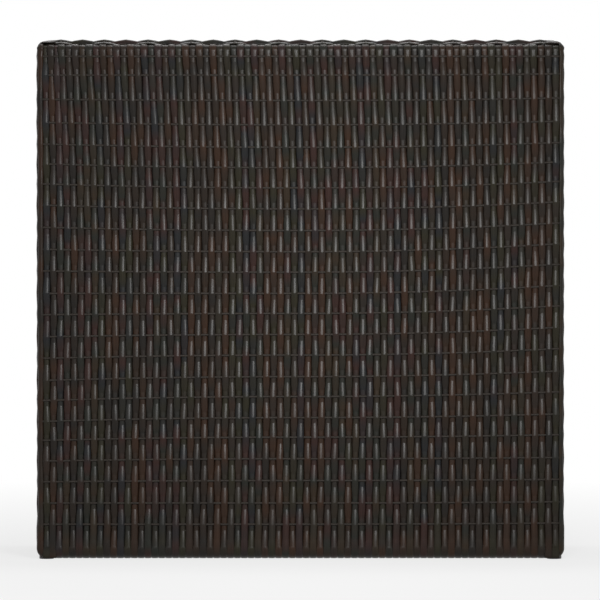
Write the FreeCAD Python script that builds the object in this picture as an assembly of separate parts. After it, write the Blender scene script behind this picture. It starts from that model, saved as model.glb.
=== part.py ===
"""Rattan bar table: woven walls and top on an aluminium tube frame, open at the back over two slat shelves.

Frame of the model: millimetres, +Z up, origin on the floor under the middle of the table.
The closed woven front faces -Y and the open serving side faces +Y.
"""

import FreeCAD
import Part

import math
import os

Vector = FreeCAD.Vector

# Envelope, measured over the crests of the weave
OVERALL_WIDTH = 1080.0
OVERALL_DEPTH = 500.0
OVERALL_HEIGHT = 1054.0
FLOOR_GAP = 2.0

# Round frame tube of the twelve edges
TUBE_DIAMETER = 25.0
TUBE_WALL = 1.5

# Cast corner fittings that the tubes plug onto
FITTING_SHOULDER = 4.5
SPIGOT_LENGTH = 28.0
SPIGOT_CLEARANCE = 0.15
BALL_MARGIN = 0.2
SOCKET_BOSS_DIAMETER = 22.0
SOCKET_BOSS_DROP = 2.2

# Blind rivets through tube and spigot
RIVET_DIAMETER = 4.0
RIVET_HEAD_DIAMETER = 8.0
RIVET_HEAD_HEIGHT = 1.6
RIVET_GRIP = 6.0
RIVET_CLEARANCE = 0.1

# Woven skin, from outer crest to inner crest, the rounding of its outer edges, and its gap to the tubes
WEAVE_THICKNESS = 8.0
SKIN_EDGE_RADIUS = 12.0
WEAVE_CLEARANCE = 0.6
SEAM_INSET = 2.0

# Ribs that the strands are woven over
RIB_DIAMETER = 4.4
RIB_CLEARANCE = 0.2
RIB_END_COVER = 6.0
WALL_RIB_PITCH = 43.2
WALL_RIB_TOP_INSET = 30.0
WALL_RIB_BOTTOM_INSET = 25.0
TOP_RIB_PITCH = 44.0
TOP_RIB_BORDER_INSET = 8.0

# Relief of the weave: its strands stand out over the ribs and sink to a trough halfway between two ribs
TROUGH_DEPTH = 3.0
TROUGH_SHARE = 0.9
TROUGH_RIM = 0.5

# Round stiffeners: stiles behind the front wall and cross bars under the top
STIFFENER_DIAMETER = 19.0
STIFFENER_WALL = 1.5
STILE_OFFSET = 165.0
CROSS_BAR_OFFSET = 195.0
WELD_GAP = 0.2

# Square bearers and box-section slats of the two shelves
LOWER_SHELF_HEIGHT = 190.0
UPPER_SHELF_HEIGHT = 600.0
BEARER_SIZE = 20.0
BEARER_WALL = 1.5
SLAT_WIDTH = 60.0
SLAT_THICKNESS = 15.0
SLAT_WALL = 1.5
SLAT_CORNER_RADIUS = 2.0
SLAT_GAP = 12.0
SLAT_POST_CLEARANCE = 3.0
CAP_THICKNESS = 3.0
CAP_PLUG_LENGTH = 12.0
CAP_CLEARANCE = 0.15

# Shelf screws
SCREW_DIAMETER = 4.8
SCREW_HEAD_DIAMETER = 9.0
SCREW_HEAD_HEIGHT = 2.6
SCREW_REACH = 7.0
SCREW_CLEARANCE = 0.2

# Levelling feet
PAD_DIAMETER = 30.0
PAD_EDGE_RADIUS = 1.5
PAD_HOLE_CLEARANCE = 2.0
STOP_GAP = 0.2
STUD_DIAMETER = 8.0
STUD_LENGTH = 28.0
STUD_CLEARANCE = 0.08
STUD_TIP_ROOM = 4.0
HEAD_ACROSS_FLATS = 13.0
HEAD_HEIGHT = 5.3
HEAD_CLEARANCE = 0.1

# Sizes worked out from those above
TUBE_RADIUS = TUBE_DIAMETER / 2
BALL_RADIUS = TUBE_RADIUS + BALL_MARGIN
EDGE_RADIUS = TUBE_RADIUS + WEAVE_CLEARANCE + WEAVE_THICKNESS
BORDER_WIDTH = 2 * EDGE_RADIUS
SHOULDER = TUBE_RADIUS + FITTING_SHOULDER
POST_X = OVERALL_WIDTH / 2 - EDGE_RADIUS
POST_Y = OVERALL_DEPTH / 2 - EDGE_RADIUS
TOP_RAIL_Z = OVERALL_HEIGHT - EDGE_RADIUS
LOW_RAIL_Z = FLOOR_GAP + EDGE_RADIUS
BOSS_BOTTOM_Z = LOW_RAIL_Z - BALL_RADIUS - SOCKET_BOSS_DROP
PAD_HEIGHT = BOSS_BOTTOM_Z - STOP_GAP

# Overshoot of cutting tools past the faces that they cut
CUT = 5.0

X_AXIS = Vector(1, 0, 0)
Y_AXIS = Vector(0, 1, 0)
Z_AXIS = Vector(0, 0, 1)
SIDES = {"left": -1, "right": 1}
ENDS = {"front": -1, "rear": 1}


def even_places(low, high, pitch):
    """Places from low to high, evenly spaced at the pitch nearest to the one asked for."""
    steps = max(1, round((high - low) / pitch))
    return [low + (high - low) * i / steps for i in range(steps + 1)]


def rod(start, end, radius):
    """Round bar from one point to another."""
    run = end - start
    return Part.makeCylinder(radius, run.Length, start, run)


def pipe(start, end, radius, wall):
    """Round tube from one point to another."""
    return rod(start, end, radius).cut(rod(start, end, radius - wall))


def block(low, high):
    """Box between two opposite corners."""
    size = high - low
    return Part.makeBox(size.x, size.y, size.z, low)


# Frame


def corner_places(height):
    """The four corner centres at one height, by name, with their signs along X and Y."""
    return {
        f"{end}_{side}": (Vector(sx * POST_X, sy * POST_Y, height), sx, sy)
        for end, sy in ENDS.items()
        for side, sx in SIDES.items()
    }


def rivet_places(centre, arms):
    """Rivet seats of one fitting: a point on each tube's axis and the way that its head faces."""
    reach = SHOULDER + SPIGOT_LENGTH / 2
    seats = []
    for arm in arms:
        across = arms[1] if arm.isEqual(arms[0], 1e-6) else arms[0]
        seats.append((centre + arm * reach, across))
    return seats


def rivet_holes(seats):
    """Drills for the rivets of one fitting, through the tube wall and into the spigot."""
    radius = RIVET_DIAMETER / 2 + RIVET_CLEARANCE
    depth = TUBE_RADIUS - TUBE_WALL - RIVET_GRIP
    return [rod(place + face * depth, place + face * (TUBE_RADIUS + CUT), radius) for place, face in seats]


def rivet(place, face):
    """Blind rivet with a rounded head on the tube's crown."""
    tip = place + face * (TUBE_RADIUS - TUBE_WALL - RIVET_GRIP + RIVET_CLEARANCE)
    seat = place + face * TUBE_RADIUS
    crown = seat + face * RIVET_HEAD_HEIGHT
    head = rod(seat, crown, RIVET_HEAD_DIAMETER / 2)
    rim = [e for e in head.Edges if (e.CenterOfMass - crown).Length < 1e-3 and e.Closed]
    head = head.makeFillet(RIVET_HEAD_HEIGHT * 0.6, rim)
    return rod(tip, seat, RIVET_DIAMETER / 2).fuse(head).removeSplitter()


def corner_fitting(centre, arms):
    """Ball corner with a shouldered spigot along each arm."""
    spigot_radius = TUBE_RADIUS - TUBE_WALL - SPIGOT_CLEARANCE
    pieces = []
    for arm in arms:
        pieces.append(rod(centre, centre + arm * SHOULDER, TUBE_RADIUS))
        pieces.append(rod(centre, centre + arm * (SHOULDER + SPIGOT_LENGTH), spigot_radius))
    ball = Part.makeSphere(BALL_RADIUS, centre)
    return ball.fuse(pieces).removeSplitter().cut(rivet_holes(rivet_places(centre, arms)))


def foot_socket(fitting, centre):
    """Adds the threaded boss for a levelling foot under a lower corner fitting."""
    bottom = Vector(centre.x, centre.y, BOSS_BOTTOM_Z)
    top = bottom + Z_AXIS * (STUD_LENGTH + STUD_TIP_ROOM)
    bored = fitting.fuse(rod(bottom, centre, SOCKET_BOSS_DIAMETER / 2)).removeSplitter()
    return bored.cut(rod(bottom - Z_AXIS * CUT, top, STUD_DIAMETER / 2 + STUD_CLEARANCE))


def frame_parts():
    """Corner fittings, posts, rails and their rivets."""
    parts = {}
    rivets = []
    drills = []
    for level, height, up in (("top", TOP_RAIL_Z, -1), ("lower", LOW_RAIL_Z, 1)):
        for name, (centre, sx, sy) in corner_places(height).items():
            arms = [X_AXIS * -sx, Y_AXIS * -sy, Z_AXIS * up]
            fitting = corner_fitting(centre, arms)
            if level == "lower":
                fitting = foot_socket(fitting, centre)
            parts[f"{level}_corner_{name}"] = fitting
            seats = rivet_places(centre, arms)
            rivets += [rivet(place, face) for place, face in seats]
            drills += rivet_holes(seats)

    def drilled_tube(start, end):
        along = (end - start).normalize()
        tube = pipe(start + along * SHOULDER, end - along * SHOULDER, TUBE_RADIUS, TUBE_WALL)
        return tube.cut([d for d in drills if d.distToShape(tube)[0] < 1e-6])

    low = corner_places(LOW_RAIL_Z)
    high = corner_places(TOP_RAIL_Z)
    for name in low:
        parts[f"post_{name}"] = drilled_tube(low[name][0], high[name][0])
    for level, corners in (("top", high), ("lower", low)):
        for end in ENDS:
            parts[f"{level}_rail_{end}"] = drilled_tube(corners[f"{end}_left"][0], corners[f"{end}_right"][0])
        for side in SIDES:
            front, rear = corners[f"front_{side}"][0], corners[f"rear_{side}"][0]
            parts[f"{level}_rail_{side}"] = drilled_tube(front, rear)
    parts["frame_rivets"] = Part.makeCompound(rivets)
    return parts


def stiffener_parts():
    """Upright stiles behind the front wall and cross bars under the top, saddled onto the rails."""
    parts = {}
    saddle = TUBE_RADIUS + WELD_GAP
    radius = STIFFENER_DIAMETER / 2
    reach = X_AXIS * STIFFENER_DIAMETER
    for side, sx in SIDES.items():
        stile_x = sx * STILE_OFFSET
        bar_x = sx * CROSS_BAR_OFFSET
        stile = (Vector(stile_x, -POST_Y, LOW_RAIL_Z), Vector(stile_x, -POST_Y, TOP_RAIL_Z))
        bar = (Vector(bar_x, -POST_Y, TOP_RAIL_Z), Vector(bar_x, POST_Y, TOP_RAIL_Z))
        for name, (start, end) in ((f"front_stile_{side}", stile), (f"top_cross_bar_{side}", bar)):
            rails = [rod(p - reach, p + reach, saddle) for p in (start, end)]
            parts[name] = pipe(start, end, radius, STIFFENER_WALL).cut(rails)
    return parts


# Shelves


def square_tube(low, high, wall):
    """Square tube along Y between two opposite corners."""
    inset = Vector(wall, -CUT, wall)
    return block(low, high).cut(block(low + inset, high - inset))


def slat_rows():
    """Middle of each slat along Y, evenly spread between the posts."""
    room = 2 * (POST_Y - TUBE_RADIUS - SLAT_POST_CLEARANCE)
    count = max(1, int((room + SLAT_GAP) // (SLAT_WIDTH + SLAT_GAP)))
    pitch = SLAT_WIDTH + SLAT_GAP
    return [(i - (count - 1) / 2) * pitch for i in range(count)]


def slat_tube(half_length, y, base):
    """Box-section slat with rounded long edges, lying along X with its underside at base."""
    half = SLAT_WIDTH / 2
    outer = block(Vector(-half_length, y - half, base), Vector(half_length, y + half, base + SLAT_THICKNESS))
    long_edges = [e for e in outer.Edges if abs(e.tangentAt(e.FirstParameter).x) > 0.99]
    outer = outer.makeFillet(SLAT_CORNER_RADIUS, long_edges)
    low = Vector(-half_length - CUT, y - half + SLAT_WALL, base + SLAT_WALL)
    high = Vector(half_length + CUT, y + half - SLAT_WALL, base + SLAT_THICKNESS - SLAT_WALL)
    return outer.cut(block(low, high))


def slat_cap(x, outward, y, base):
    """Push-in cap that closes one end of a slat."""
    half = SLAT_WIDTH / 2
    plate = block(
        Vector(min(x, x + outward * CAP_THICKNESS), y - half, base),
        Vector(max(x, x + outward * CAP_THICKNESS), y + half, base + SLAT_THICKNESS),
    )
    long_edges = [e for e in plate.Edges if abs(e.tangentAt(e.FirstParameter).x) > 0.99]
    plate = plate.makeFillet(SLAT_CORNER_RADIUS, long_edges)
    inset = SLAT_WALL + CAP_CLEARANCE
    tip = x - outward * CAP_PLUG_LENGTH
    plug = block(
        Vector(min(x, tip), y - half + inset, base + inset),
        Vector(max(x, tip), y + half - inset, base + SLAT_THICKNESS - inset),
    )
    return plate.fuse(plug).removeSplitter()


def shelf_screw(x, y, base):
    """Pan-head screw from below, through a bearer into the slat that lies on it."""
    seat = Vector(x, y, base - BEARER_SIZE)
    crown = seat - Z_AXIS * SCREW_HEAD_HEIGHT
    tip = Vector(x, y, base + min(SCREW_REACH, SLAT_THICKNESS / 2))
    head = rod(seat, crown, SCREW_HEAD_DIAMETER / 2)
    rim = [e for e in head.Edges if (e.CenterOfMass - crown).Length < 1e-3 and e.Closed]
    head = head.makeFillet(SCREW_HEAD_HEIGHT * 0.6, rim)
    return rod(tip, seat, SCREW_DIAMETER / 2).fuse(head).removeSplitter()


def shelf_parts(name, deck):
    """One shelf: two bearers between the posts, its slats, their caps and their screws."""
    base = deck - SLAT_THICKNESS
    rows = slat_rows()
    half_length = POST_X + BEARER_SIZE / 2 - CAP_THICKNESS
    drill_top = base + min(SCREW_REACH, SLAT_THICKNESS / 2) + SCREW_CLEARANCE
    drills = [
        rod(
            Vector(sx * POST_X, y, base - BEARER_SIZE - CUT),
            Vector(sx * POST_X, y, drill_top),
            SCREW_DIAMETER / 2 + SCREW_CLEARANCE,
        )
        for sx in SIDES.values()
        for y in rows
    ]
    parts = {}
    for side, sx in SIDES.items():
        low = Vector(sx * POST_X - BEARER_SIZE / 2, -POST_Y, base - BEARER_SIZE)
        high = Vector(sx * POST_X + BEARER_SIZE / 2, POST_Y, base)
        notch_low = Vector(sx * POST_X, 0, low.z - CUT)
        notch_high = Vector(sx * POST_X, 0, high.z + CUT)
        posts = [
            rod(notch_low + Y_AXIS * y, notch_high + Y_AXIS * y, TUBE_RADIUS + WELD_GAP)
            for y in (-POST_Y, POST_Y)
        ]
        parts[f"{name}_shelf_bearer_{side}"] = square_tube(low, high, BEARER_WALL).cut(posts + drills)
    slats = [slat_tube(half_length, y, base) for y in rows]
    parts[f"{name}_shelf_slats"] = Part.makeCompound([slat.cut(drills) for slat in slats])
    caps = [slat_cap(sx * half_length, sx, y, base) for y in rows for sx in SIDES.values()]
    parts[f"{name}_shelf_caps"] = Part.makeCompound([cap.cut(drills) for cap in caps])
    screws = [shelf_screw(sx * POST_X, y, base) for y in rows for sx in SIDES.values()]
    parts[f"{name}_shelf_screws"] = Part.makeCompound(screws)
    return parts


# Ribs


def swept_rod(edges, radius):
    """Round bar along a chain of tangent lines and arcs."""
    path = Part.Wire(edges)
    start = edges[0].valueAt(edges[0].FirstParameter)
    along = edges[0].tangentAt(edges[0].FirstParameter)
    section = Part.Wire([Part.Circle(start, along, radius).toShape()])
    return path.makePipeShell([section], True, False)


def bend(centre, radius, first, last):
    """Quarter arc about a corner centre, from one direction to another."""
    middle = (first + last).normalize()
    points = [centre + way * radius for way in (first, middle, last)]
    return Part.Arc(*points).toShape()


def line(start, end):
    return Part.LineSegment(start, end).toShape()


def wall_route(z, corner_inset, reach, end_x):
    """Route round the left wall, the front and the right wall, a reach from their corners' centres."""
    corner_x = OVERALL_WIDTH / 2 - corner_inset
    corner_y = OVERALL_DEPTH / 2 - corner_inset
    corners = [Vector(sx * corner_x, sy * corner_y, z) for sx, sy in ((-1, 1), (-1, -1), (1, -1), (1, 1))]
    ways = [Y_AXIS, X_AXIS * -1, Y_AXIS * -1, X_AXIS, Y_AXIS]
    edges = []
    here = Vector(-end_x, corner_y + reach, z)
    for corner, first, last in zip(corners, ways, ways[1:]):
        edges.append(line(here, corner + first * reach))
        edges.append(bend(corner, reach, first, last))
        here = corner + last * reach
    edges.append(line(here, Vector(end_x, corner_y + reach, z)))
    return edges


def top_route(x, corner_inset, reach, front_y, low_z):
    """Route back across the top and down the rear border, a reach from the centre of the rear edge."""
    corner = Vector(x, OVERALL_DEPTH / 2 - corner_inset, OVERALL_HEIGHT - corner_inset)
    front = Vector(x, front_y, corner.z + reach)
    low = Vector(x, corner.y + reach, low_z)
    over = bend(corner, reach, Z_AXIS, Y_AXIS)
    return [line(front, corner + Z_AXIS * reach), over, line(corner + Y_AXIS * reach, low)]


def rib_heights():
    return even_places(FLOOR_GAP + WALL_RIB_BOTTOM_INSET, OVERALL_HEIGHT - WALL_RIB_TOP_INSET, WALL_RIB_PITCH)


def rib_columns():
    half_top = OVERALL_WIDTH / 2 - BORDER_WIDTH - TOP_RIB_BORDER_INSET
    return even_places(-half_top, half_top, TOP_RIB_PITCH)


def rib_bars(radius, cover):
    """Bars along all ribs of the walls and of the top, with their ends covered by the borders."""
    reach = EDGE_RADIUS - WEAVE_THICKNESS / 2
    end_x = OVERALL_WIDTH / 2 - BORDER_WIDTH + cover
    front_y = SEAM_INSET - POST_Y + cover
    low_z = OVERALL_HEIGHT - BORDER_WIDTH + cover
    return {
        "wall": [swept_rod(wall_route(z, EDGE_RADIUS, reach, end_x), radius) for z in rib_heights()],
        "top": [swept_rod(top_route(x, EDGE_RADIUS, reach, front_y, low_z), radius) for x in rib_columns()],
    }


def rib_parts():
    """Wall ribs and top ribs."""
    bars = rib_bars(RIB_DIAMETER / 2, RIB_END_COVER)
    return {f"{name}_ribs": Part.makeCompound(rods) for name, rods in bars.items()}


# Woven skin


def rounded_box(inset, radius):
    """The table's outer box taken in by an inset, with all edges rounded."""
    low = Vector(inset - OVERALL_WIDTH / 2, inset - OVERALL_DEPTH / 2, FLOOR_GAP + inset)
    high = Vector(OVERALL_WIDTH / 2 - inset, OVERALL_DEPTH / 2 - inset, OVERALL_HEIGHT - inset)
    box = block(low, high)
    return box.makeFillet(radius, box.Edges)


def rectangle(corners):
    return Part.makePolygon(corners + corners[:1])


def woven_shell():
    """The whole skin: a rounded shell, open inside its borders at the back and underneath."""
    hollow = rounded_box(WEAVE_THICKNESS, EDGE_RADIUS - WEAVE_THICKNESS)
    shell = rounded_box(0, SKIN_EDGE_RADIUS).cut(hollow)
    window_x = OVERALL_WIDTH / 2 - BORDER_WIDTH
    window_y = OVERALL_DEPTH / 2 - BORDER_WIDTH
    back = block(
        Vector(-window_x, POST_Y, FLOOR_GAP + BORDER_WIDTH),
        Vector(window_x, OVERALL_DEPTH / 2 + CUT, OVERALL_HEIGHT - BORDER_WIDTH),
    )
    under = block(Vector(-window_x, -window_y, 0), Vector(window_x, window_y, LOW_RAIL_Z))
    feet = [
        rod(Vector(c.x, c.y, 0), c, PAD_DIAMETER / 2 + PAD_HOLE_CLEARANCE)
        for c, _, _ in corner_places(LOW_RAIL_Z).values()
    ]
    return shell.cut([back, under] + feet)


def seam_zones():
    """Regions that part the skin: the front with its rounded edges, then each side with its rear border."""
    wide = OVERALL_WIDTH / 2 + CUT
    deep = OVERALL_DEPTH / 2 + CUT
    high = OVERALL_HEIGHT + CUT
    window_x = OVERALL_WIDTH / 2 - BORDER_WIDTH
    window_y = OVERALL_DEPTH / 2 - BORDER_WIDTH
    wall = block(Vector(-wide, -deep, 0), Vector(wide, SEAM_INSET - POST_Y, high))
    lip = block(Vector(-wide, -deep, 0), Vector(wide, -window_y, LOW_RAIL_Z))
    zones = {"front_weave": wall.fuse(lip)}
    for side, sx in SIDES.items():
        inner_x = POST_X - SEAM_INSET
        wall = side_block(sx, inner_x, wide, Vector(0, -deep, 0), Vector(0, deep, high))
        lip = side_block(sx, window_x, wide, Vector(0, -deep, 0), Vector(0, deep, LOW_RAIL_Z))
        border = side_block(sx, window_x, wide, Vector(0, POST_Y, 0), Vector(0, deep, high))
        zones[f"{side}_weave"] = wall.fuse([lip, border])
    return zones


def trough(edges, out, across, pitch):
    """Cutter for one trough: a shallow bar with a round bottom, sunk into the skin along a route."""
    start = edges[0].valueAt(edges[0].FirstParameter)
    left, right = [start + out * TROUGH_RIM + across * (way * TROUGH_SHARE * pitch / 2) for way in (-1, 1)]
    hollow = Part.Arc(left, start - out * TROUGH_DEPTH, right).toShape()
    section = Part.Wire([hollow, line(right, left)])
    return Part.Wire(edges).makePipeShell([section], True, False)


def troughs():
    """Cutters for the troughs between the ribs of the walls and between those of the top."""
    heights, columns = rib_heights(), rib_columns()
    end_x = OVERALL_WIDTH / 2 - BORDER_WIDTH - CUT
    front_y = SEAM_INSET - POST_Y - CUT
    low_z = OVERALL_HEIGHT - BORDER_WIDTH - CUT
    radius = SKIN_EDGE_RADIUS
    walls = [
        trough(wall_route((a + b) / 2, radius, radius, end_x), Y_AXIS, Z_AXIS, b - a)
        for a, b in zip(heights, heights[1:])
    ]
    tops = [
        trough(top_route((a + b) / 2, radius, radius, front_y, low_z), Z_AXIS, X_AXIS, b - a)
        for a, b in zip(columns, columns[1:])
    ]
    return {"wall": walls, "top": tops}


def side_block(sx, near, far, low, high):
    """Box on one side of the table, between two distances from its middle."""
    xs = sorted((sx * near, sx * far))
    return block(Vector(xs[0], low.y, low.z), Vector(xs[1], high.y, high.z))


def weave_parts():
    """The woven skin in five pieces, with channels for the ribs and troughs between them."""
    channels = rib_bars(RIB_DIAMETER / 2 + RIB_CLEARANCE, RIB_END_COVER - RIB_CLEARANCE)
    relief = troughs()
    parts = {}
    rest = woven_shell()
    for name, zone in seam_zones().items():
        parts[name] = rest.common(zone).cut(channels["wall"] + relief["wall"])
        rest = rest.cut(zone)
    low, high = sorted(rest.Solids, key=lambda solid: solid.CenterOfMass.z)
    parts["rear_rail_weave"] = low
    parts["top_weave"] = high.cut(channels["top"] + relief["top"])
    return parts


# Levelling feet


def hexagon_bar(centre, across_flats, height):
    """Upright hexagonal bar standing on a centre point."""
    radius = across_flats / math.sqrt(3)
    corners = [
        centre + Vector(radius * math.cos(math.radians(60 * i)), radius * math.sin(math.radians(60 * i)), 0)
        for i in range(6)
    ]
    return Part.Face(rectangle(corners)).extrude(Z_AXIS * height)


def foot_parts():
    """Four levelling feet: a moulded pad round the hexagon head of a threaded stud."""
    parts = {}
    for name, (corner, _, _) in corner_places(0).items():
        head_base = corner + Z_AXIS * (PAD_HEIGHT - HEAD_HEIGHT)
        pad_top = corner + Z_AXIS * PAD_HEIGHT
        pad = rod(corner, pad_top, PAD_DIAMETER / 2)
        rim = [e for e in pad.Edges if e.Closed]
        pad = pad.makeFillet(PAD_EDGE_RADIUS, rim)
        pocket_base = head_base - Z_AXIS * HEAD_CLEARANCE
        pocket = hexagon_bar(pocket_base, HEAD_ACROSS_FLATS + 2 * HEAD_CLEARANCE, HEAD_HEIGHT + CUT)
        shank = rod(pad_top, pad_top + Z_AXIS * STUD_LENGTH, STUD_DIAMETER / 2)
        parts[f"foot_pad_{name}"] = pad.cut(pocket)
        head = hexagon_bar(head_base, HEAD_ACROSS_FLATS, HEAD_HEIGHT)
        parts[f"foot_stud_{name}"] = head.fuse(shank).removeSplitter()
    return parts


def build():
    """All pieces by node name."""
    parts = frame_parts()
    parts.update(stiffener_parts())
    parts.update(shelf_parts("lower", LOWER_SHELF_HEIGHT))
    parts.update(shelf_parts("upper", UPPER_SHELF_HEIGHT))
    parts.update(rib_parts())
    parts.update(weave_parts())
    parts.update(foot_parts())
    return parts


os.makedirs("parts", exist_ok=True)
for node, shape in build().items():
    assert shape.isValid(), f"{node} is not a valid shape"
    shape.exportStep(f"parts/{node}.step")
    print(f"{node}: {len(shape.Solids)} solids, {shape.Volume / 1000:.1f} cm3")
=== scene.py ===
import math
import random

import bmesh
import bpy
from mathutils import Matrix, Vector


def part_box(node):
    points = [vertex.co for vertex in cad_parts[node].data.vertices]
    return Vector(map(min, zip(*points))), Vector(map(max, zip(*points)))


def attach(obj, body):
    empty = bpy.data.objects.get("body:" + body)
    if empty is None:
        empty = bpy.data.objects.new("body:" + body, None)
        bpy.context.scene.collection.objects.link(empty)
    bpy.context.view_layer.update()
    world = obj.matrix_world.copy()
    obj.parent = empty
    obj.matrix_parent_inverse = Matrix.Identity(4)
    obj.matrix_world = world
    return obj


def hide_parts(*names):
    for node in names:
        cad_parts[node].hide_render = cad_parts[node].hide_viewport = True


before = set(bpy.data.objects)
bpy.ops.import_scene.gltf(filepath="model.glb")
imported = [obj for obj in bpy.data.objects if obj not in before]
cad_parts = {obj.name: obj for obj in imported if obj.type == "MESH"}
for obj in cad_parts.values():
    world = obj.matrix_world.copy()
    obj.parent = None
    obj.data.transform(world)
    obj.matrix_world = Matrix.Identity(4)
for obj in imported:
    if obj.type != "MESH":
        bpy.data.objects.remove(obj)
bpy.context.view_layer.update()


# Tube frame
# The twelve edges are dark aluminium tube, sleeved onto cast ball corners and held by blind rivets.
# Tubes and castings carry a fine-textured powder coat; the rivets are left bare.

grain_detail = 4
cloud_detail = 3
grain_share = 0.35
grain_bump = 0.35
tone_range = (0.45, 0.9)
gloss_range = (0.4, 1.0)


def grain_group():
    """Mottling that several finishes share: a tone with fine grain on soft clouds, and a height for bump."""
    group = bpy.data.node_groups.new("surface_grain", "ShaderNodeTree")
    sockets = {"Grain Scale": "INPUT", "Cloud Scale": "INPUT", "Tone": "OUTPUT", "Height": "OUTPUT"}
    for name, way in sockets.items():
        group.interface.new_socket(name, in_out=way, socket_type="NodeSocketFloat")
    nodes, links = group.nodes, group.links
    inputs = nodes.new("NodeGroupInput")
    outputs = nodes.new("NodeGroupOutput")
    place = nodes.new("ShaderNodeTexCoord")
    grain = nodes.new("ShaderNodeTexNoise")
    grain.inputs["Detail"].default_value = grain_detail
    cloud = nodes.new("ShaderNodeTexNoise")
    cloud.inputs["Detail"].default_value = cloud_detail
    blend = nodes.new("ShaderNodeMath")
    blend.operation = "MULTIPLY_ADD"
    blend.inputs[1].default_value = grain_share
    links.new(place.outputs["Object"], grain.inputs["Vector"])
    links.new(place.outputs["Object"], cloud.inputs["Vector"])
    links.new(inputs.outputs["Grain Scale"], grain.inputs["Scale"])
    links.new(inputs.outputs["Cloud Scale"], cloud.inputs["Scale"])
    links.new(grain.outputs["Fac"], blend.inputs[0])
    links.new(cloud.outputs["Fac"], blend.inputs[2])
    links.new(blend.outputs[0], outputs.inputs["Tone"])
    links.new(grain.outputs["Fac"], outputs.inputs["Height"])
    return group


surface_grain = grain_group()


def grained_finish(name, dark, light, roughness, grain_scale, cloud_scale, depth, metallic=0.0, specular=0.5):
    """A finish whose colour, roughness and bump follow the shared surface grain."""
    material = bpy.data.materials.new(name)
    material.use_nodes = True
    nodes, links = material.node_tree.nodes, material.node_tree.links
    shader = nodes["Principled BSDF"]
    shader.inputs["Metallic"].default_value = metallic
    shader.inputs["Specular IOR Level"].default_value = specular
    grain = nodes.new("ShaderNodeGroup")
    grain.node_tree = surface_grain
    grain.inputs["Grain Scale"].default_value = grain_scale
    grain.inputs["Cloud Scale"].default_value = cloud_scale
    colour = nodes.new("ShaderNodeValToRGB")
    for element, position, tone in zip(colour.color_ramp.elements, tone_range, (dark, light)):
        element.position = position
        element.color = (*tone, 1)
    gloss = nodes.new("ShaderNodeMapRange")
    gloss.inputs["From Min"].default_value, gloss.inputs["From Max"].default_value = gloss_range
    gloss.inputs["To Min"].default_value, gloss.inputs["To Max"].default_value = roughness
    bump = nodes.new("ShaderNodeBump")
    bump.inputs["Strength"].default_value = grain_bump
    bump.inputs["Distance"].default_value = depth
    links.new(grain.outputs["Tone"], colour.inputs["Fac"])
    links.new(colour.outputs["Color"], shader.inputs["Base Color"])
    links.new(grain.outputs["Tone"], gloss.inputs["Value"])
    links.new(gloss.outputs["Result"], shader.inputs["Roughness"])
    links.new(grain.outputs["Height"], bump.inputs["Height"])
    links.new(bump.outputs["Normal"], shader.inputs["Normal"])
    return material


def finish_nodes(material, *starts):
    """Gives a finish to every CAD node whose name starts with one of these words."""
    for name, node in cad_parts.items():
        if name.startswith(starts):
            node.data.materials.clear()
            node.data.materials.append(material)


powder_coat = grained_finish(
    "powder_coat", (0.020, 0.017, 0.015), (0.032, 0.027, 0.024), roughness=(0.42, 0.6),
    grain_scale=1400, cloud_scale=60, depth=0.0002)
cast_coat = grained_finish(
    "cast_coat", (0.018, 0.016, 0.014), (0.030, 0.026, 0.023), roughness=(0.45, 0.65),
    grain_scale=700, cloud_scale=80, depth=0.0004)
bare_rivet = grained_finish(
    "bare_rivet", (0.42, 0.42, 0.41), (0.56, 0.56, 0.55), roughness=(0.3, 0.45),
    grain_scale=2500, cloud_scale=400, depth=0.00005, metallic=1.0)
finish_nodes(powder_coat, "post_", "top_rail_", "lower_rail_")
finish_nodes(cast_coat, "top_corner_", "lower_corner_")
finish_nodes(bare_rivet, "frame_rivets")


# Stiles and cross bars
# Two thinner tubes stand behind the front wall and two lie under the top, saddled and welded to the rails.
# They are coated together with the frame.

finish_nodes(powder_coat, "front_stile_", "top_cross_bar_")


# Shelves
# Box-section aluminium slats lie on square bearers between the posts and are screwed to them from below.
# The slats are coated a little lighter than the frame, and moulded caps close their ends.

slat_coat = grained_finish(
    "slat_coat", (0.030, 0.024, 0.020), (0.046, 0.037, 0.031), roughness=(0.4, 0.55),
    grain_scale=1200, cloud_scale=25, depth=0.0002)
cap_plastic = grained_finish(
    "cap_plastic", (0.010, 0.0095, 0.009), (0.018, 0.017, 0.016), roughness=(0.45, 0.6),
    grain_scale=900, cloud_scale=120, depth=0.0001)
screw_steel = grained_finish(
    "screw_steel", (0.48, 0.48, 0.47), (0.6, 0.6, 0.59), roughness=(0.25, 0.4),
    grain_scale=2200, cloud_scale=300, depth=0.00005, metallic=1.0)
finish_nodes(powder_coat, "lower_shelf_bearer", "upper_shelf_bearer")
finish_nodes(slat_coat, "lower_shelf_slats", "upper_shelf_slats")
finish_nodes(cap_plastic, "lower_shelf_caps", "upper_shelf_caps")
finish_nodes(screw_steel, "lower_shelf_screws", "upper_shelf_screws")


# Wall ribs
# Round coated wires run from one rear border round the left wall, the front and the right wall to the other.
# They are laid by hand, so the rows crowd and bow a little, and the strands are woven over and under them.

skin_low, skin_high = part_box("front_weave")
turn_radius = 0.012
middle_depth = 0.004
middle_radius = turn_radius - middle_depth
turn_arc = middle_radius * math.pi / 2
turn_x = skin_high.x - turn_radius
turn_y = -skin_low.y - turn_radius
side_start = turn_x + turn_arc
side_end = side_start + 2 * turn_y
border_start = side_end + turn_arc

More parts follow.
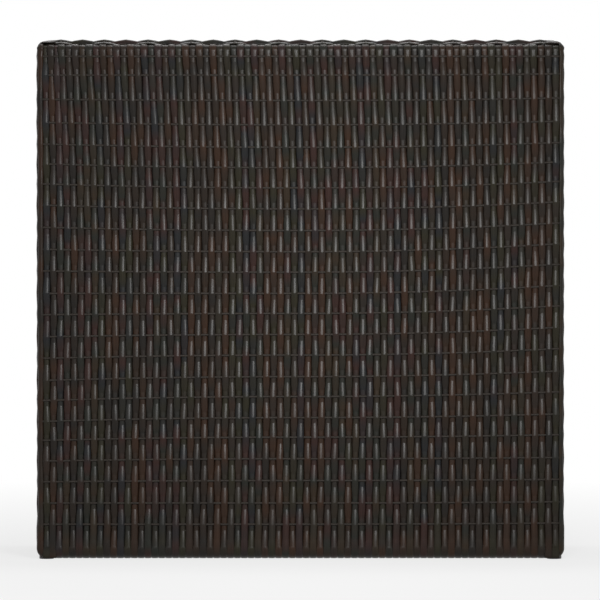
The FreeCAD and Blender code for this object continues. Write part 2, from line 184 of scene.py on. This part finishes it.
rib_radius = 0.0022
rib_sides = 8
rib_overrun = 0.016
rib_end = border_start + rib_overrun
rib_half_steps = 90
rib_levels = (1.0274, 0.9890, 0.9372, 0.8876, 0.8417, 0.8001, 0.7588, 0.7158, 0.6717, 0.6284, 0.5866, 0.5433,
              0.5023, 0.4594, 0.4172, 0.3731, 0.3325, 0.2894, 0.2494, 0.2053, 0.1606, 0.1147, 0.0712, 0.0263)
rib_count = len(rib_levels)
bow_fade = 0.25
right_bow = 0.0125
right_bow_reach = 0.46
right_bow_rows = 20
left_bow = 0.0045
left_bow_reach = 0.39
left_bow_rows = 10


def wall_place(around):
    """Place on the middle of the wall, metres round from the front's middle, and the way out from it."""
    run = abs(around)
    if run <= turn_x:
        point, out = (run, -turn_y - middle_radius), (0, -1)
    elif run <= side_start:
        angle = (run - turn_x) / middle_radius
        out = (math.sin(angle), -math.cos(angle))
        point = (turn_x + middle_radius * out[0], -turn_y + middle_radius * out[1])
    elif run <= side_end:
        point, out = (turn_x + middle_radius, run - side_start - turn_y), (1, 0)
    elif run <= border_start:
        angle = (run - side_end) / middle_radius
        out = (math.cos(angle), math.sin(angle))
        point = (turn_x + middle_radius * out[0], turn_y + middle_radius * out[1])
    else:
        point, out = (turn_x - (run - border_start), turn_y + middle_radius), (0, 1)
    way = 1 if around >= 0 else -1
    return Vector((way * point[0], point[1], 0)), Vector((way * out[0], out[1], 0))


def rib_height(row, around):
    """Height of the rib of a row, counted from the top: bowed up on the right, up and down on the left."""
    reach = min(abs(around), turn_x)
    fade = max(0, 1 - max(0, abs(around) - turn_x) / bow_fade)
    if around > 0:
        turn = math.pi * min(row, right_bow_rows - 1) / right_bow_rows
        bow = right_bow * math.sin(turn) * (reach / right_bow_reach) ** 2
    else:
        turn = math.pi * min(max(row - 1, 0), 2 * left_bow_rows) / left_bow_rows
        bow = left_bow * math.sin(turn) * (reach / left_bow_reach) ** 2
    return rib_levels[row] + bow * fade


def lay_bar(bm, layer, section, spots, creases, tint):
    """Sweeps a closed section along a bar; each spot turns a section's across and rise into a place."""
    columns, rows = len(section), len(spots) - 1
    along = [0.0]
    for here, there in zip(spots, spots[1:]):
        along.append(along[-1] + (there(0, 0) - here(0, 0)).length)
    grid = bmesh.ops.create_grid(bm, x_segments=columns, y_segments=rows, size=0.5)
    row_of = {vert: round((vert.co.y + 0.5) * rows) for vert in grid["verts"]}
    for vert, row in row_of.items():
        column = round((vert.co.x + 0.5) * columns)
        vert.co = spots[row](*section[column % columns])
        vert[layer] = Vector((column / columns, along[row], tint))
        if row in creases:
            for edge in vert.link_edges:
                edge.smooth = edge.smooth and row_of[edge.other_vert(vert)] != row


def bar_piece(name, bars, section, material):
    """Makes one object from many bars, each given as its spots, the rows where it is creased and its tint."""
    bm = bmesh.new()
    layer = bm.verts.layers.float_vector.new("strand")
    for spots, creases, tint in bars:
        lay_bar(bm, layer, section, spots, creases, tint)
    bmesh.ops.remove_doubles(bm, verts=bm.verts, dist=1e-6)
    bmesh.ops.holes_fill(bm, edges=[edge for edge in bm.edges if edge.is_boundary], sides=0)
    bmesh.ops.recalc_face_normals(bm, faces=bm.faces)
    for face in bm.faces:
        face.smooth = True
    mesh = bpy.data.meshes.new(name)
    bm.to_mesh(mesh)
    bm.free()
    mesh.materials.append(material)
    piece = bpy.data.objects.new(name, mesh)
    bpy.context.scene.collection.objects.link(piece)
    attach(piece, "table")
    return piece


def wall_rib(row):
    """Spots of one wall rib, from the left rear border to the right one."""
    def spot_at(around):
        point, out = wall_place(around)
        base = point + Vector((0, 0, rib_height(row, around)))
        return lambda across, rise: base + out * rise + Vector((0, 0, across))
    return [spot_at(rib_end * (i / rib_half_steps - 1)) for i in range(2 * rib_half_steps + 1)]


rib_angles = [math.tau * i / rib_sides for i in range(rib_sides)]
rib_section = [(rib_radius * math.cos(angle), rib_radius * math.sin(angle)) for angle in rib_angles]
rib_coat = grained_finish(
    "rib_coat", (0.026, 0.021, 0.017), (0.038, 0.032, 0.027), roughness=(0.5, 0.65),
    grain_scale=900, cloud_scale=60, depth=0.0002, specular=0.15)
wall_rib_bars = [(wall_rib(row), (), row / rib_count) for row in range(rib_count)]
wall_ribs = bar_piece("laid_wall_ribs", wall_rib_bars, rib_section, rib_coat)
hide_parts("wall_ribs")


# Woven walls
# Upright strands of half-round resin with rolled-back lips, each over one rib and under the next in turn.
# Neighbours are in opposite step and their lips close the wall; all twist, sway and lean a little.
# They are creased over the ribs, hooked over the top rail and turned in under the lower rail as a hem.

strand_tones = (
    (0.0150, 0.0130, 0.0112), (0.0220, 0.0145, 0.0098), (0.0340, 0.0172, 0.0100),
    (0.0215, 0.0165, 0.0130), (0.0205, 0.0180, 0.0100), (0.0150, 0.0155, 0.0165),
    (0.0320, 0.0155, 0.0125), (0.0165, 0.0172, 0.0138), (0.0285, 0.0188, 0.0112))
noise_range = (0.3, 0.7)
streak_scale = (60, 6, 40)
streak_detail = 5
streak_tone = (0.75, 1.25)
drift_scale = (0, 7, 90)
drift_detail = 2
drift_tint = 0.22
# Painted shade: the strands' lips are darkened towards their edges, standing in for the shade between
# neighbouring strands.
edge_shade_tone = 0.2
edge_shade_range = (0.22, 0.47)
draw_bump = 0.25
draw_depth = 0.0003

strand_pitch = 0.01405
strand_start = 0.0018
strand_width = 0.0170
strand_lip = 0.0060
lip_power = 5
strand_thickness = 0.0036
crown_columns = (-1, -0.92, -0.8, -0.6, -0.25, 0.25, 0.6, 0.8, 0.92, 1)
back_columns = (0.7, -0.7)
crown_share = (len(crown_columns) - 1) / (len(crown_columns) + len(back_columns))

crest_depth = 0.0042
valley_depth = -0.0014
valley_start = 0.705
wave_steps = (0, 0.18, 0.36, 0.54, valley_start)
crease_slope = 1.0
crease_room = 0.001
crest_roll = 1.25
roll_fall = 0.65
crown_round = 30
height_play = 0.0011
sway_play = 0.0008
twist_play = 0.07

firm_depth = 0.0030
corner_slack = 0.2
front_slack = 0.5
front_slack_run = 0.02
side_slack = 0.2
side_slack_run = 0.12

lean_hold = 0.05
lean_ease = 0.75
lean_level = 0.6
top_lean = 0.0125
top_lean_run = 0.45
low_lean = 0.0045
low_lean_run = 0.6

edge_drop = 0.0025
side_rise = 0.0065
cap_round = 0.006
turn_top = skin_high.z - edge_drop - turn_radius
neck_drop = 0.0015
raised_neck, raised_cap = 0.0022, 0.0042
sunk_neck, sunk_cap = -0.0012, 0.0028
cap_roll = 0.55
cap_steps = 3
hook_run = 0.018
hook_steps = 9
corner_share = 0.97

hem_turn = 0.020
hem_radius = hem_turn - middle_depth
turn_low = skin_low.z + hem_turn
hem_low = 0.0050
hem_cover = 0.0040
hem_roll = 0.45
hem_wrap = math.pi / 2 + 1
hem_steps = 7
foot_room = 0.025
foot_hem = 0.0022
foot_wrap = math.pi / 3
foot_steps = 4
border_width = 0.023


def resin_finish(name, tones, roughness, specular):
    """Extruded resin: a tone for each strand that drifts along it, streaks, fine draw lines, and painted
    shade towards the lips.
    """
    material = bpy.data.materials.new(name)
    material.use_nodes = True
    nodes, links = material.node_tree.nodes, material.node_tree.links
    shader = nodes["Principled BSDF"]
    shader.inputs["Specular IOR Level"].default_value = specular
    strand = nodes.new("ShaderNodeAttribute")
    strand.attribute_name = "strand"
    parts = nodes.new("ShaderNodeSeparateXYZ")
    links.new(strand.outputs["Vector"], parts.inputs["Vector"])

    def stretched_noise(scale, detail):
        stretch = nodes.new("ShaderNodeVectorMath")
        stretch.operation = "MULTIPLY"
        stretch.inputs[1].default_value = scale
        noise = nodes.new("ShaderNodeTexNoise")
        noise.inputs["Scale"].default_value = 1.0
        noise.inputs["Detail"].default_value = detail
        links.new(strand.outputs["Vector"], stretch.inputs[0])
        links.new(stretch.outputs["Vector"], noise.inputs["Vector"])
        return noise.outputs["Fac"]

    def ranged(value, low, high, start=noise_range[0], stop=noise_range[1]):
        node = nodes.new("ShaderNodeMapRange")
        node.inputs["From Min"].default_value = start
        node.inputs["From Max"].default_value = stop
        node.inputs["To Min"].default_value = low
        node.inputs["To Max"].default_value = high
        links.new(value, node.inputs["Value"])
        return node.outputs["Result"]

    def multiplied(first, second):
        node = nodes.new("ShaderNodeMix")
        node.data_type = "RGBA"
        node.blend_type = "MULTIPLY"
        node.inputs["Factor"].default_value = 1.0
        links.new(first, node.inputs["A"])
        links.new(second, node.inputs["B"])
        return node.outputs["Result"]

    streak = stretched_noise(streak_scale, streak_detail)
    drift = stretched_noise(drift_scale, drift_detail)
    tint = nodes.new("ShaderNodeMath")
    tint.operation = "ADD"
    links.new(parts.outputs["Z"], tint.inputs[0])
    links.new(ranged(drift, -drift_tint, drift_tint), tint.inputs[1])
    turn = nodes.new("ShaderNodeMath")
    turn.operation = "PINGPONG"
    turn.inputs[1].default_value = 1.0
    links.new(tint.outputs[0], turn.inputs[0])
    ramp = nodes.new("ShaderNodeValToRGB")
    while len(ramp.color_ramp.elements) < len(tones):
        ramp.color_ramp.elements.new(0.5)
    for i, (element, tone) in enumerate(zip(ramp.color_ramp.elements, tones)):
        element.position = i / (len(tones) - 1)
        element.color = (*tone, 1)
    links.new(turn.outputs[0], ramp.inputs["Fac"])
    off_middle = nodes.new("ShaderNodeMath")
    off_middle.operation = "SUBTRACT"
    off_middle.inputs[1].default_value = crown_share / 2
    links.new(parts.outputs["X"], off_middle.inputs[0])
    off = nodes.new("ShaderNodeMath")
    off.operation = "ABSOLUTE"
    links.new(off_middle.outputs[0], off.inputs[0])
    # Painted shade: the base colour falls towards the lips, where neighbouring strands would shade them.
    shade_start, shade_stop = (crown_share * edge for edge in edge_shade_range)
    painted_edge_shade = ranged(off.outputs[0], 1.0, edge_shade_tone, shade_start, shade_stop)
    streaked = multiplied(ramp.outputs["Color"], ranged(streak, *streak_tone))
    links.new(multiplied(streaked, painted_edge_shade), shader.inputs["Base Color"])
    links.new(ranged(streak, *roughness), shader.inputs["Roughness"])
    bump = nodes.new("ShaderNodeBump")
    bump.inputs["Strength"].default_value = draw_bump
    bump.inputs["Distance"].default_value = draw_depth
    links.new(streak, bump.inputs["Height"])
    links.new(bump.outputs["Normal"], shader.inputs["Normal"])
    return material


woven_resin = resin_finish("woven_resin", strand_tones, roughness=(0.28, 0.38), specular=0.145)
half_width = strand_width / 2
strand_section = [(half_width * column, -strand_lip * abs(column) ** lip_power) for column in crown_columns]
strand_section += [(half_width * column, -strand_thickness) for column in back_columns]
chance = random.Random(11)


def between(start, stop, share):
    """The value a share of the way from start to stop."""
    return start + (stop - start) * share


def held(share):
    """A share kept from 0 to 1."""
    return min(1, max(0, share))


def strand_lean(around, height):
    """Sideways drift of a front strand: pulled left towards the top and the bottom, and less to the right."""
    hold = held((turn_x - abs(around)) / lean_hold)
    ease = 1.0 if around < 0 else 1 - lean_ease * around / turn_x
    if height > lean_level:
        return -top_lean * ((height - lean_level) / top_lean_run) ** 2 * ease * hold
    return -low_lean * ((lean_level - height) / low_lean_run) ** 2 * ease * hold


def from_crest(phase):
    """How far a phase is from the nearest crest, where it is even: 0 there and 1 behind the next rib."""
    return abs((phase + 1) % 2 - 1)


def is_creased(phase):
    """Whether the strand is folded at a phase: over each crest, and where it starts to pass behind a rib."""
    return min(from_crest(phase), abs(from_crest(phase) - valley_start)) < crease_room


def step_depth(phase):
    """Outward place of a strand's crown at a phase."""
    share = from_crest(phase)
    fall = crease_slope * share + (1 - crease_slope * valley_start) * (share / valley_start) ** 2
    return crest_depth + (valley_depth - crest_depth) * min(fall, 1)


def step_roll(phase):
    """How far a strand's lips are rolled back: most on a crest, where they close over its neighbours."""
    return crest_roll - roll_fall * from_crest(phase)


def step_round(phase):
    """How round a strand's crown is: flat on a crest, and squeezed between its neighbours further on."""
    return crown_round * min(from_crest(phase), valley_start)


def half_steps(phase):
    """Steps from one rib to the next, from a crest or from behind the rib."""
    return wave_steps if phase % 2 == 0 else [1 - share for share in reversed(wave_steps[1:])]


def edge_path(run, radius):
    """Route over an edge, metres on from the wall: how far in and up it is, and the angle of its way out."""
    arc = radius * math.pi / 2
    if run <= arc:
        angle = run / radius
        return radius * (1 - math.cos(angle)), radius * math.sin(angle), angle
    if run <= arc + hook_run:
        return radius + run - arc, radius, math.pi / 2
    angle = (run - arc - hook_run) / middle_radius
    inward = radius + hook_run + middle_radius * math.sin(angle)
    return inward, radius - middle_radius * (1 - math.cos(angle)), math.pi / 2 + angle


def is_on_corner(around):
    """Whether a strand stands on one of the rounded corners."""
    return turn_x < abs(around) < side_start or side_end < abs(around) < border_start


def corner_distance(around):
    """Distance round the wall to the nearest end of a rounded corner."""
    return min(abs(abs(around) - place) for place in (turn_x, side_start, side_end, border_start))


def wave_slack(around):
    """Share of the full wave that a strand has: little on and near a corner, where it is pulled tight."""
    if is_on_corner(around):
        return corner_slack
    if abs(around) < turn_x:
        return min(1, front_slack + corner_distance(around) / front_slack_run)
    return min(1, side_slack + corner_distance(around) / side_slack_run)


def wall_strand(number):
    """Spots of one upright strand, from its turn round the lower rail to its hook over the top rail."""
    around = number * strand_pitch + strand_start
    last = rib_count - 1
    play = [chance.uniform(-height_play, height_play) for _ in range(rib_count)]
    heights = [rib_height(row, around) + play[row] for row in range(rib_count)]
    sway = [chance.uniform(-sway_play, sway_play) for _ in range(rib_count)]
    twist = [chance.uniform(-twist_play, twist_play) for _ in range(rib_count)]
    slack = wave_slack(around)
    at_foot = is_on_corner(around) or corner_distance(around) < foot_room
    over = turn_arc if is_on_corner(around) else turn_arc * 2 + hook_run
    under = hem_radius * (foot_wrap if at_foot else hem_wrap)
    rounded = held(min(abs(around) - turn_x, border_start - abs(around)) / turn_arc)
    top_turn = turn_top + (side_rise - cap_round) * rounded
    top_radius = middle_radius + cap_round * rounded
    hem_depth = between(hem_low, firm_depth, rounded)
    neck, cap = (sunk_neck, sunk_cap) if number % 2 else (raised_neck, raised_cap)

    def wall(height, depth, roll, drift=0, tilt=0, bulge=0):
        middle = around + strand_lean(around, height) + drift

        def spot(across, rise):
            point, out = wall_place(middle + across)
            outward = depth + rise * roll + across * (tilt - bulge * across)
            return point + out * outward + Vector((0, 0, height))
        return spot

    def wave(row, share):
        phase = row - share + number
        above = max(row - 1, 0)
        height = between(heights[row], heights[above], share)
        drift = between(sway[row], sway[above], share)
        tilt = between(twist[row], twist[above], share)
        if row == last and (row + number) % 2:
            depth = hem_cover + (crest_depth - hem_cover) * slack * share
            return wall(height, depth, crest_roll, drift, tilt)
        depth = between(firm_depth, step_depth(phase), slack)
        return wall(height, depth, step_roll(phase), drift, tilt, step_round(phase))

    def hook(run, turn_height, up, radius, depth, roll):
        middle = around + strand_lean(around, turn_height)
        inward, climb, angle = edge_path(run, radius)

        def spot(across, rise):
            point, out = wall_place(middle + across)
            way = out * math.cos(angle) + Vector((0, 0, up * math.sin(angle)))
            back = min(inward, middle_radius * corner_share) if out.x and out.y else inward
            turned = Vector((0, 0, turn_height + up * climb))
            return point - out * back + turned + way * (depth + rise * roll)
        return spot

    if at_foot and abs(around) < turn_x:
        hem_heights = [foot_hem + (turn_low - foot_hem) * i / foot_steps for i in range(foot_steps + 1)]
        spots = [wall(height, firm_depth, hem_roll) for height in hem_heights]
    else:
        hem_runs = [under * (1 - i / hem_steps) for i in range(hem_steps + 1)]
        spots = [hook(run, turn_low, -1, hem_radius, hem_depth, hem_roll) for run in hem_runs]
    creases = set()
    steps = [(row, share) for row in range(last, 0, -1) for share in half_steps(row + number)]
    for row, share in steps + [(0, 0)]:
        if is_creased(row - share + number):
            creases.add(len(spots))
        spots.append(wave(row, share))
    spots.append(wall(top_turn - neck_drop, neck, cap_roll))
    for i in range(hook_steps + 1):
        depth = between(neck, cap, min(1, i / cap_steps))
        spots.append(hook(over * i / hook_steps, top_turn, 1, top_radius, depth, cap_roll))
    return spots, creases


def woven_wall(name, numbers, node):
    """One woven wall from the strands with these numbers, standing for one CAD node."""
    bars = [(*wall_strand(number), chance.random()) for number in numbers]
    piece = bar_piece(name, bars, strand_section, woven_resin)
    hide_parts(node)


front_last = int(side_start / strand_pitch)
border_last = int((border_start + border_width) / strand_pitch)
front_numbers = range(-front_last, front_last + 1)
woven_wall("front_strands_even", [number for number in front_numbers if number % 2 == 0], "front_weave")
woven_wall("front_strands_odd", [number for number in front_numbers if number % 2], "front_weave")
woven_wall("left_strands", range(-border_last, -front_last), "left_weave")
woven_wall("right_strands", range(front_last + 1, border_last + 1), "right_weave")


# Woven top
# The same strand runs from side to side over ribs that lie front to back, and over the rear edge as a border.
# Its ends are tucked under the hooks of the side strands, and the ribs' front tips are turned down.
# The first strand lies low behind the hooks of the front, and the deep lips of the second close the step.

top_rib_count = 23
top_rib_reach = 0.4898
top_rib_gap = 2 * top_rib_reach / (top_rib_count - 1)
top_rib_steps = 31
rib_dip = 0.012
rib_tip = 0.016
rib_level = 0.028

top_strand_count = 36
top_middle = skin_high.z - middle_depth
top_depth = 2 * turn_y
top_border = 0.024
top_first = 0.014
top_last = top_depth + turn_arc + top_border
top_sway = 0.0006
field_lift = 0.0015
front_lift = 0.0075
front_lift_end = 0.11
front_lift_run = 0.07
rear_lift_run = 0.03
edge_lift = 0.0022
edge_roll = 0.5
front_roll = 1.5
tuck_room = 0.003
tuck_reach = turn_x - tuck_room
tuck_depth = -0.0008
tuck_roll = 0.5
tuck_steps = (0.4, 0.7, 1.0)


def top_place(back):
    """Place on the middle of the top, metres back from its front turn, and the way out from it."""
    if back <= top_depth:
        return Vector((0, back - turn_y, top_middle)), Vector((0, 0, 1))
    angle = (back - top_depth) / middle_radius
    if angle <= math.pi / 2:
        out = Vector((0, math.sin(angle), math.cos(angle)))
        return Vector((0, turn_y, top_middle - middle_radius)) + out * middle_radius, out
    drop = back - top_depth - turn_arc
    return Vector((0, turn_y + middle_radius, top_middle - middle_radius - drop)), Vector((0, 1, 0))


def top_raise(back):
    """How far the top's ribs and strands stand above its border, metres back from its front turn."""
    front = held((front_lift_end - back) / front_lift_run)
    rear = held((top_depth - back) / rear_lift_run)
    return field_lift * rear + (front_lift - field_lift) * front * front * (3 - 2 * front)


def top_rib(number):
    """Spots of one rib of the top, from front to rear."""
    x = top_rib_reach * (2 * number / (top_rib_count - 1) - 1)

    def spot_at(back):
        z = top_middle + top_raise(back) - rib_dip * max(0, (rib_level - back) / (rib_level - rib_tip))
        return lambda across, rise: Vector((x + across, back - turn_y, z + rise))

    run = top_depth - rib_level
    level_places = [rib_level + run * i / top_rib_steps for i in range(top_rib_steps + 1)]
    return [spot_at(back) for back in (rib_tip, (rib_tip + rib_level) / 2, *level_places)]


def top_strand(number):
    """Spots of one strand of the top, from left to right."""
    back = top_first + (top_last - top_first) * number / (top_strand_count - 1)
    lift, lip = top_raise(back), 1
    if number == 0:
        lift, lip = edge_lift, edge_roll
    elif number == 1:
        lip = front_roll
    sway = [chance.uniform(-top_sway, top_sway) for _ in range(top_rib_count + 1)]

    def cross(x, depth, roll, drift=0):
        def spot(across, rise):
            point, out = top_place(back + drift + across)
            return point + out * (lift + depth + rise * roll) + Vector((x, 0, 0))
        return spot

    def tuck(side, share):
        x = between(top_rib_reach, tuck_reach, share)
        return cross(side * x, between(step_depth(number), tuck_depth, share), tuck_roll)

    last = top_rib_count - 1
    steps = [(rib, share) for rib in range(last) for share in half_steps(rib + number)]
    spots = [tuck(-1, share) for share in reversed(tuck_steps)]
    creases = set()
    for rib, share in steps + [(last, 0)]:
        phase = rib + share + number
        if is_creased(phase):
            creases.add(len(spots))
        x = -top_rib_reach + top_rib_gap * (rib + share)
        drift = between(sway[rib], sway[rib + 1], share)
        spots.append(cross(x, step_depth(phase), lip * step_roll(phase), drift))
    return spots + [tuck(1, share) for share in tuck_steps], creases


top_rib_bars = [(top_rib(number), (), number / top_rib_count) for number in range(top_rib_count)]
laid_top_ribs = bar_piece("laid_top_ribs", top_rib_bars, rib_section, rib_coat)
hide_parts("top_ribs")

top_bars = [(*top_strand(number), chance.random()) for number in range(top_strand_count)]
woven_top = bar_piece("top_strands", top_bars, strand_section, woven_resin)
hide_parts("top_weave")


# Rear rail winding
# A single strand is wound side by side round the lower rear rail, which carries no wall.
# It covers the rail from one rear border to the other.

rail_low, rail_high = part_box("lower_rail_rear")
rail_axis = (rail_low + rail_high) / 2
wind_radius = 0.0178
wind_pitch = 0.0138
wind_end_room = 0.03
wind_reach = turn_x - wind_end_room
wind_turns = int(2 * wind_reach / wind_pitch)
wind_steps = 18
wind_roll = 0.5
wind_squeeze = 0.97
wind_tint = 0.3


def winding():
    """Spots along the wound strand, from left to right."""
    def spot_at(step):
        angle = math.tau * step / wind_steps
        out = Vector((0, math.cos(angle), math.sin(angle)))
        base = Vector((wind_pitch * (step / wind_steps - wind_turns / 2), rail_axis.y, rail_axis.z))

        def spot(across, rise):
            return base + out * (wind_radius + rise * wind_roll) + Vector((across * wind_squeeze, 0, 0))
        return spot
    return [spot_at(step) for step in range(wind_turns * wind_steps + 1)]


rear_winding = bar_piece("rear_rail_winding", [(winding(), (), wind_tint)], strand_section, woven_resin)
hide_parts("rear_rail_weave")


# Levelling feet
# Nylon pads are moulded round the hexagon heads of zinc-plated studs.
# Each stud screws into the boss of a lower corner casting, so that the table can be levelled.

pad_nylon = grained_finish(
    "pad_nylon", (0.010, 0.010, 0.010), (0.018, 0.018, 0.018), roughness=(0.4, 0.55),
    grain_scale=1100, cloud_scale=150, depth=0.0001)
stud_zinc = grained_finish(
    "stud_zinc", (0.50, 0.50, 0.48), (0.64, 0.64, 0.62), roughness=(0.28, 0.42),
    grain_scale=2000, cloud_scale=250, depth=0.00005, metallic=1.0)
finish_nodes(pad_nylon, "foot_pad_")
finish_nodes(stud_zinc, "foot_stud_")


# Floor
# A wide, plain, pale disc that the table stands on, fading into the white of the studio further out.
# It is matt, and close to the table it keeps a soft shadow.

floor_radius = 9
floor_segments = 96
floor_tone = 0.86
floor_roughness = 0.9
floor_specular = 0.1
fade_start, fade_stop = 0.7, 3.0
near_white, far_white = 0.75, 1.0


def seen_rays(nodes, links):
    """Adds nodes that give 1 to rays from the camera, off gloss or through glass, and 0 to all others."""
    path = nodes.new("ShaderNodeLightPath")
    seen = path.outputs["Is Camera Ray"]
    for kind in ("Is Glossy Ray", "Is Transmission Ray"):
        either = nodes.new("ShaderNodeMath")
        either.operation = "MAXIMUM"
        links.new(seen, either.inputs[0])
        links.new(path.outputs[kind], either.inputs[1])
        seen = either.outputs[0]
    return seen


def floor_finish():
    """Matt white that also glows where it is seen: partly near the table and fully further out."""
    material = bpy.data.materials.new("floor_white")
    material.use_nodes = True
    nodes, links = material.node_tree.nodes, material.node_tree.links
    shader = nodes["Principled BSDF"]
    shader.inputs["Base Color"].default_value = (floor_tone, floor_tone, floor_tone, 1)
    shader.inputs["Roughness"].default_value = floor_roughness
    shader.inputs["Specular IOR Level"].default_value = floor_specular
    glow = nodes.new("ShaderNodeEmission")
    glow.inputs["Color"].default_value = (1, 1, 1, 1)
    place = nodes.new("ShaderNodeTexCoord")
    away = nodes.new("ShaderNodeVectorMath")
    away.operation = "LENGTH"
    links.new(place.outputs["Object"], away.inputs[0])
    fade = nodes.new("ShaderNodeMapRange")
    fade.inputs["From Min"].default_value = fade_start
    fade.inputs["From Max"].default_value = fade_stop
    fade.inputs["To Min"].default_value = near_white
    fade.inputs["To Max"].default_value = far_white
    links.new(away.outputs["Value"], fade.inputs["Value"])
    white = nodes.new("ShaderNodeMath")
    white.operation = "MULTIPLY"
    links.new(fade.outputs["Result"], white.inputs[0])
    links.new(seen_rays(nodes, links), white.inputs[1])
    mix = nodes.new("ShaderNodeMixShader")
    links.new(white.outputs[0], mix.inputs["Fac"])
    links.new(shader.outputs["BSDF"], mix.inputs[1])
    links.new(glow.outputs["Emission"], mix.inputs[2])
    links.new(mix.outputs["Shader"], nodes["Material Output"].inputs["Surface"])
    return material


floor_bm = bmesh.new()
bmesh.ops.create_circle(floor_bm, cap_ends=True, segments=floor_segments, radius=floor_radius)
floor_mesh = bpy.data.meshes.new("studio_floor")
floor_bm.to_mesh(floor_mesh)
floor_bm.free()
floor_mesh.materials.append(floor_finish())
floor = bpy.data.objects.new("studio_floor", floor_mesh)
bpy.context.scene.collection.objects.link(floor)


# Studio light
# A square soft box with a grid stands in front, right of the middle, and draws bars of light on the strands.
# Two wider soft boxes above and behind light the top and the open side, in an even pale room.

room_light = 0.2
room_white = 1.0


def soft_box(name, place, aim, size, power, spread=180):
    """A rectangular lamp in watts, turned towards its aim, with its spread in degrees."""
    lamp = bpy.data.lights.new(name, "AREA")
    lamp.shape = "RECTANGLE"
    lamp.size, lamp.size_y = size
    lamp.energy = power
    lamp.spread = math.radians(spread)
    box = bpy.data.objects.new(name, lamp)
    box.location = place
    box.rotation_euler = (Vector(aim) - Vector(place)).to_track_quat("-Z", "Y").to_euler()
    box.visible_camera = False
    bpy.context.scene.collection.objects.link(box)


soft_box("front_soft_box", place=(0.35, -2.75, 1.4), aim=(-0.04, -0.25, 0.62), size=(0.62, 0.62),
         power=7.9, spread=66)
soft_box("top_soft_box", place=(0, 0.4, 3.0), aim=(0, 0, 1.05), size=(1.4, 0.7), power=20)
soft_box("rear_soft_box", place=(0, 3.2, 2.7), aim=(0, 0.2, 0.8), size=(1.8, 0.8), power=15)

world = bpy.data.worlds.new("studio_room")
world.use_nodes = True
world_nodes, world_links = world.node_tree.nodes, world.node_tree.links
room = world_nodes["Background"]
room.inputs["Color"].default_value = (1, 1, 1, 1)
level = world_nodes.new("ShaderNodeMapRange")
level.inputs["To Min"].default_value = room_light
level.inputs["To Max"].default_value = room_white
world_links.new(seen_rays(world_nodes, world_links), level.inputs["Value"])
world_links.new(level.outputs["Result"], room.inputs["Strength"])
bpy.context.scene.world = world


# Camera
# A long lens far in front and a little above the top, as the photograph was taken.
# Its scale is given for the front's plane, in a picture 600 pixels wide.

photo_width = 600
pixels_per_metre = 490.0
camera_distance = 20.0
camera_height = 1.155
camera_aim = Vector((-0.0008, skin_low.y, 0.5300))
camera_reach = 200
camera = bpy.data.cameras.new("camera")
camera.sensor_width = 36
camera.lens = pixels_per_metre * camera_distance / photo_width * camera.sensor_width
camera.clip_end = camera_reach
view = bpy.data.objects.new("camera", camera)
view.location = (camera_aim.x, skin_low.y - camera_distance, camera_height)
view.rotation_euler = (camera_aim - view.location).to_track_quat("-Z", "Y").to_euler()
bpy.context.scene.collection.objects.link(view)
bpy.context.scene.camera = view
bpy.context.scene.view_settings.view_transform = "Standard"
